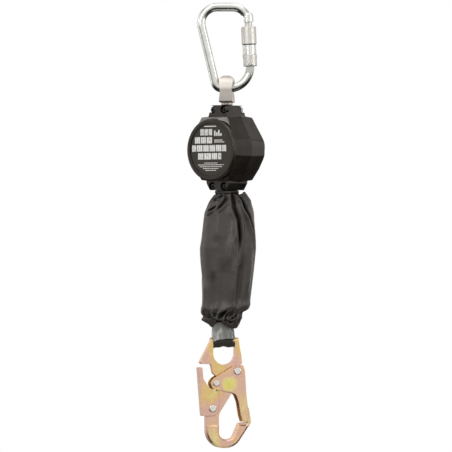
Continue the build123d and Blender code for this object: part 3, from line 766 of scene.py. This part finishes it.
def loop_line():
    """The loop's middle line in the hook's frame: down, round the eye's bar and up again."""
    radius = 5.75 * MM                      # to the middle of the webbing
    meet = Vector((0, 1.25 * MM, 21 * MM))  # where the two legs part to go round the bar
    top = 47 * MM                           # above the bar's middle
    angle = math.atan2(meet.z, meet.y) - math.acos(radius / meet.length)
    turns = np.linspace(angle, -math.pi - angle, 46)
    arc = [Vector((0, radius * math.cos(turn), radius * math.sin(turn))) for turn in turns]
    far = Vector((0, -meet.y, meet.z))
    first, last = Vector((0, meet.y, top)), Vector((0, -meet.y, top))

    def leg(start, end, steps):
        """Points from the start towards the end, without the end."""
        return [start.lerp(end, i / steps) for i in range(steps)]

    down = leg(first, meet, 12) + leg(meet, arc[0], 10)
    up = leg(arc[-1], far, 10) + leg(far, last, 12) + [last]
    return [HOOK_FRAME @ point for point in down + arc[:-1] + up]


def make_web_loop():
    """The sewn loop that holds the hook, curling a little where it bears on the bar."""
    def curl(along, across):
        """The push on a point at these shares, in metres: half way along, the webbing is under the bar."""
        bottom = math.exp(-((along - 0.5) / 0.13) ** 2)
        # its edges hang lower than its middle, with a slight wave between them
        wave = -(1.9 - 0.7 * across) * abs(across) ** 3 + 0.55 * math.cos(across * 7.0) - 0.55
        side = 0.2 * math.sin(across * 4 + along * 9) * math.exp(-((along - 0.5) / 0.3) ** 2)
        # narrower where the sleeve holds it
        drawn_in = (-1.3 * across - 0.9) * float(rise(abs(along - 0.5), 0.10, 0.24))
        return HOOK_FRAME.to_3x3() @ (Vector((drawn_in, side, wave * bottom)) * MM)

    across = (HOOK_FRAME.to_3x3() @ Vector((1, 0, 0))).normalized()
    loop = close_ends(strip("hook_loop", loop_line(), across, LOOP_WIDTH, LOOP_THICK, columns=30, ripple=curl))
    paint(loop, "webbing")
    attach(loop, "line")
    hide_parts("web_loop")
    return loop


# The clear sleeve reaches this far above and below its CAD box: up into the cover and down over the loop
TUBE_ABOVE, TUBE_BELOW = 0.3 * MM, 3.2 * MM
TUBE_GIRTH, TUBE_THICK = 80 * MM, 0.9 * MM
# Lengthwise wrinkles of the sleeve: degrees round it, height in millimetres, half width in degrees
TUBE_WRINKLES = (
    (136, 1.0, 4), (127, -0.9, 4), (112, 0.6, 5), (95, -0.5, 6), (74, 0.5, 6), (55, 0.8, 4), (47, -0.6, 4),
    (250, 0.7, 6), (285, -0.6, 6), (310, 0.6, 5),
)


def make_shrink_tube():
    """Clear heat shrunk sleeve over the sewn tail, pinched on to it and cut on the slant."""
    low, high = (Vector(corner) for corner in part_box("shrink_tube"))
    rows, columns = 60, 160
    height = high.z - low.z + TUBE_ABOVE + TUBE_BELOW
    points = np.empty((rows, columns, 3))
    for r in range(rows):
        share = r / (rows - 1)          # of the way down, where it widens and moves towards the middle
        half_x = (12.9 + 0.9 * share + 0.5 * rise(share, 0.8, 1.0)) * MM
        half_y = (5.6 + 2.6 * share ** 1.5) * MM
        shift = (-1.2 + 1.0 * share) * MM
        fullness = math.sin(math.pi * min(share * 1.3 + 0.1, 1))    # the wrinkles fade at both ends
        for c in range(columns):
            turn = 2 * math.pi * c / columns
            degrees = math.degrees(turn)
            x = math.copysign(abs(math.cos(turn)) ** 0.5, math.cos(turn)) * half_x
            y = -math.copysign(abs(math.sin(turn)) ** 0.62, math.sin(turn)) * half_y
            slant = (1.9 * x / half_x) * MM
            flare = 1.0 * math.cos(3 * turn + 0.8) * MM * rise(share, 0.75, 1.0)
            z = high.z + TUBE_ABOVE + slant - share * height + flare
            push = sum(
                tall * math.exp(-((degrees - center) / wide) ** 2) * fullness
                for center, tall, wide in TUBE_WRINKLES
            )
            push += noise.noise(Vector((x, y, z * 0.6)) * 130) * 0.45
            place = HOOK_FRAME @ Vector((x + shift, y, 0))
            out = (place - HOOK_FRAME.translation).normalized() * push * MM
            points[r, c] = (place.x + out.x, place.y + out.y, z)
    tube = thicken(tube_piece("clear_shrink_sleeve", points, (TUBE_GIRTH, height)), TUBE_THICK)
    smooth(tube)
    paint(tube, "clear_sleeve")
    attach(tube, "line")
    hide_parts("shrink_tube")
    return tube


# ---------------------------------------------------------------- printing on the label

LABEL_FACE = 0.31 * MM      # half the label's thickness, and a hair
PRINT_THICK = 0.12 * MM
# Height above the middle, left end, height of the row and the widths of its plain blocks, in millimetres
PRINT_ROWS = (
    (28.0, -10.0, 1.1, (18.5,)),
    (21.0, -16.0, 7.6, (5.6, 5.6, 5.6)),
    (11.4, -24.5, 7.6, (8.4, 8.4, 8.4)),
    (1.8, -28.8, 7.6, (6.4, 9.0, 9.0, 9.0, 9.0, 6.4)),
    (-7.8, -19.5, 7.6, (8.6, 11.0, 8.6, 5.4)),
    (19.6, 5.4, 6.4, (2.2,)), (18.6, 8.6, 4.4, (2.2,)), (19.9, 11.8, 7.0, (2.2,)), (18.0, 15.0, 3.2, (2.2,)),
    (11.4, 5.4, 0.9, (13.0,)), (9.2, 5.4, 0.9, (16.0,)),
)
BLOCK_GAP, STRIPE_GAP, DASH_GAP = 0.9, 0.35, 0.5        # millimetres
CORNER_ROUNDING = 0.16      # of a block's smaller side
DASH_HEIGHT = 0.8
# Rows of small dashes: height above the middle and half the row's length, in millimetres
FINE_ROWS = ((-15.8, 10.0), (-18.0, 19.5), (-20.2, 17.0), (-22.4, 12.0), (-24.6, 8.0))


def print_block(made, x, z, width, height):
    """A thin printed block with rounded corners: x is its left end and z its middle, all in millimetres."""
    round_off = min(width, height) * CORNER_ROUNDING
    outline = []
    for corner_x, corner_z, start in ((1, 1, 0), (-1, 1, 90), (-1, -1, 180), (1, -1, 270)):
        for step in range(4):
            turn = math.radians(start + step * 30)
            outline.append((
                x + width / 2 + corner_x * (width / 2 - round_off) + round_off * math.cos(turn),
                z + corner_z * (height / 2 - round_off) + round_off * math.sin(turn),
            ))
    front, back = (
        [made.verts.new(LABEL_FRAME @ Vector((px * MM, -proud, pz * MM))) for px, pz in outline]
        for proud in (LABEL_FACE + PRINT_THICK, LABEL_FACE)
    )
    made.faces.new(front)
    made.faces.new(back[::-1])
    for i in range(len(outline)):
        j = (i + 1) % len(outline)
        made.faces.new((front[j], front[i], back[i], back[j]))


def make_label_print():
    """Plain light blocks and lines where the maker's printing would be; no letters and no mark."""
    made = bmesh.new()
    for z, left, height, widths in PRINT_ROWS:
        x = left
        for width in widths:
            stripes = 3 if height > 5 and width > 5 else 1          # big blocks are split, as a word is
            step = width / stripes
            for stripe in range(stripes):
                print_block(made, x + stripe * step, z, step - STRIPE_GAP * (stripes > 1), height)
            x += width + BLOCK_GAP
    for z, half in FINE_ROWS:
        x = -half
        dash = 0
        while x < half:
            width = 2.2 + 1.5 * math.sin(dash * 2.4 + z) ** 2       # uneven, as words are
            print_block(made, x, z, min(width, half - x + 0.6), DASH_HEIGHT)
            x += width + DASH_GAP
            dash += 1
    printed = mesh_piece("label_print", made, "label_ink", "housing")
    return printed


# ---------------------------------------------------------------- stage, light and camera

CAD_LOW, CAD_HIGH = (Vector(corner) for corner in cad_box)
MIDDLE = (CAD_LOW + CAD_HIGH) / 2
HEIGHT = CAD_HIGH.z - CAD_LOW.z


def softbox(name, place, aim, size, power, color=(1, 1, 1)):
    """A large soft light at a place, facing a point."""
    data = bpy.data.lights.new(name, "AREA")
    data.shape = "RECTANGLE"
    data.size, data.size_y = size
    data.energy = power
    data.color = color
    light = bpy.data.objects.new(name, data)
    light.location = place
    light.rotation_euler = (Vector(aim) - Vector(place)).to_track_quat("-Z", "Y").to_euler()
    light.visible_camera = False
    bpy.context.collection.objects.link(light)


FLOOR_DROP = joints["line_payout"]["range_m"][1] + 0.15    # the hook clears the floor at full payout
FLOOR_RADIUS = 1.2


def make_stage():
    """A round pale floor under the hanging object. The background is the white of the tent."""
    pale = Finish("floor_pale", roughness=0.9)
    pale.color(pale.noise(6, 2), ((0.3, (0.74, 0.735, 0.73)), (0.7, (0.80, 0.795, 0.79))))
    made = bmesh.new()
    bmesh.ops.create_circle(made, cap_ends=True, segments=96, radius=FLOOR_RADIUS)
    mesh = bpy.data.meshes.new("floor")
    made.to_mesh(mesh)
    made.free()
    floor = bpy.data.objects.new("floor", mesh)
    floor.location = (MIDDLE.x, MIDDLE.y, CAD_LOW.z - FLOOR_DROP)
    bpy.context.collection.objects.link(floor)
    mesh.materials.append(pale.material)


# Brightness of the tent by height, from straight down to straight up, and by side, from -X to +X
TENT_BY_HEIGHT = (
    (0.0, 0.012), (0.22, 0.015), (0.30, 0.10), (0.38, 0.42), (0.46, 0.85), (0.52, 1.0), (0.72, 0.95), (1.0, 0.85),
)
TENT_BY_SIDE = (
    (0.00, 0.80), (0.10, 0.78), (0.16, 0.36), (0.22, 0.95), (0.41, 1.0), (0.455, 0.55),
    (0.50, 0.60), (0.56, 1.0), (0.80, 1.0), (0.87, 0.34), (0.92, 0.85), (1.0, 0.80),
)


def make_tent():
    """The world: a white tent, bright above and at the sides and dim below, with a few darker seams that draw
    lines on the metal. Seen directly it is plain white."""
    world = bpy.data.worlds.new("tent")
    bpy.context.scene.world = world
    world.use_nodes = True
    tree = world.node_tree
    background = tree.nodes["Background"]
    coords = tree.nodes.new("ShaderNodeTexCoord")
    split = tree.nodes.new("ShaderNodeSeparateXYZ")
    tree.links.new(coords.outputs["Generated"], split.inputs["Vector"])
    levels = []
    for axis, stops in (("Z", TENT_BY_HEIGHT), ("X", TENT_BY_SIDE)):
        stretch = tree.nodes.new("ShaderNodeMapRange")
        stretch.inputs["From Min"].default_value = -1
        ramp = tree.nodes.new("ShaderNodeValToRGB")
        tree.links.new(split.outputs[axis], stretch.inputs["Value"])
        tree.links.new(stretch.outputs["Result"], ramp.inputs["Fac"])
        while len(ramp.color_ramp.elements) < len(stops):
            ramp.color_ramp.elements.new(0.5)
        for element, (place, level) in zip(ramp.color_ramp.elements, stops):
            element.position = place
            element.color = (level, level * 0.995, level * 0.98, 1)
        levels.append(ramp.outputs["Color"])
    light = tree.nodes.new("ShaderNodeMixRGB")
    light.blend_type = "MULTIPLY"
    light.inputs["Fac"].default_value = 1
    tree.links.new(levels[0], light.inputs["Color1"])
    tree.links.new(levels[1], light.inputs["Color2"])
    direct = tree.nodes.new("ShaderNodeLightPath")
    seen = tree.nodes.new("ShaderNodeMixRGB")
    tree.links.new(direct.outputs["Is Camera Ray"], seen.inputs["Fac"])
    tree.links.new(light.outputs["Color"], seen.inputs["Color1"])
    seen.inputs["Color2"].default_value = (1, 1, 1, 1)
    tree.links.new(seen.outputs["Color"], background.inputs["Color"])


# The housing's front leans back towards its shoulders, and a small card up on the left glints in it
SHOULDER = Vector((0, 0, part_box("front_cover")[1][2]))
SHOULDER_GLINT = Vector((-0.954, -0.146, 0.279))


def make_lights():
    """Soft boxes: a key from the upper left, two strips at each side, a small card and one overhead."""
    softbox("key", MIDDLE + Vector((-0.9, -1.5, 0.9)), MIDDLE, (0.9, 1.2), 6.0)
    softbox("right_strip", MIDDLE + Vector((1.5, -0.75, 0.45)), MIDDLE, (0.35, 1.3), 3.6, (1.0, 0.985, 0.96))
    softbox("left_strip", MIDDLE + Vector((-1.5, 0.3, 0.2)), MIDDLE, (0.25, 1.4), 2.2)
    softbox("shoulder_card", SHOULDER + 1.7 * SHOULDER_GLINT, SHOULDER, (0.16, 0.14), 0.45)
    softbox("left_glint", MIDDLE + Vector((-1.0, -1.2, 0.5)), MIDDLE, (0.035, 0.5), 1.1)
    softbox("right_glint", MIDDLE + Vector((1.35, -0.75, 0.12)), MIDDLE, (0.035, 0.5), 1.1)
    softbox("top", MIDDLE + Vector((0.1, -0.3, 1.5)), MIDDLE, (1.2, 1.0), 6.0)


CAMERA_DISTANCE = 5.0
PICTURE_MARGIN = 1.0155         # the picture's height as a share of the object's
CAMERA_DROP = 0.8 * MM          # below the object's middle


def make_camera():
    """A long lens straight along +Y, so the picture is nearly a flat projection."""
    data = bpy.data.cameras.new("camera")
    camera = bpy.data.objects.new("camera", data)
    data.sensor_width = 36
    data.lens = data.sensor_width * CAMERA_DISTANCE / (HEIGHT * PICTURE_MARGIN)
    data.clip_end = 20
    camera.location = (MIDDLE.x, -CAMERA_DISTANCE, MIDDLE.z - CAMERA_DROP)
    camera.rotation_euler = (math.radians(90), 0, 0)
    bpy.context.collection.objects.link(camera)
    bpy.context.scene.camera = camera
    bpy.context.scene.view_settings.view_transform = "Standard"


# ---------------------------------------------------------------- the whole object

finish_cad_nodes()
cover = make_cover()
make_web_lead()
make_web_loop()
make_shrink_tube()
make_label_print()
make_stage()
make_tent()
make_lights()
make_camera()
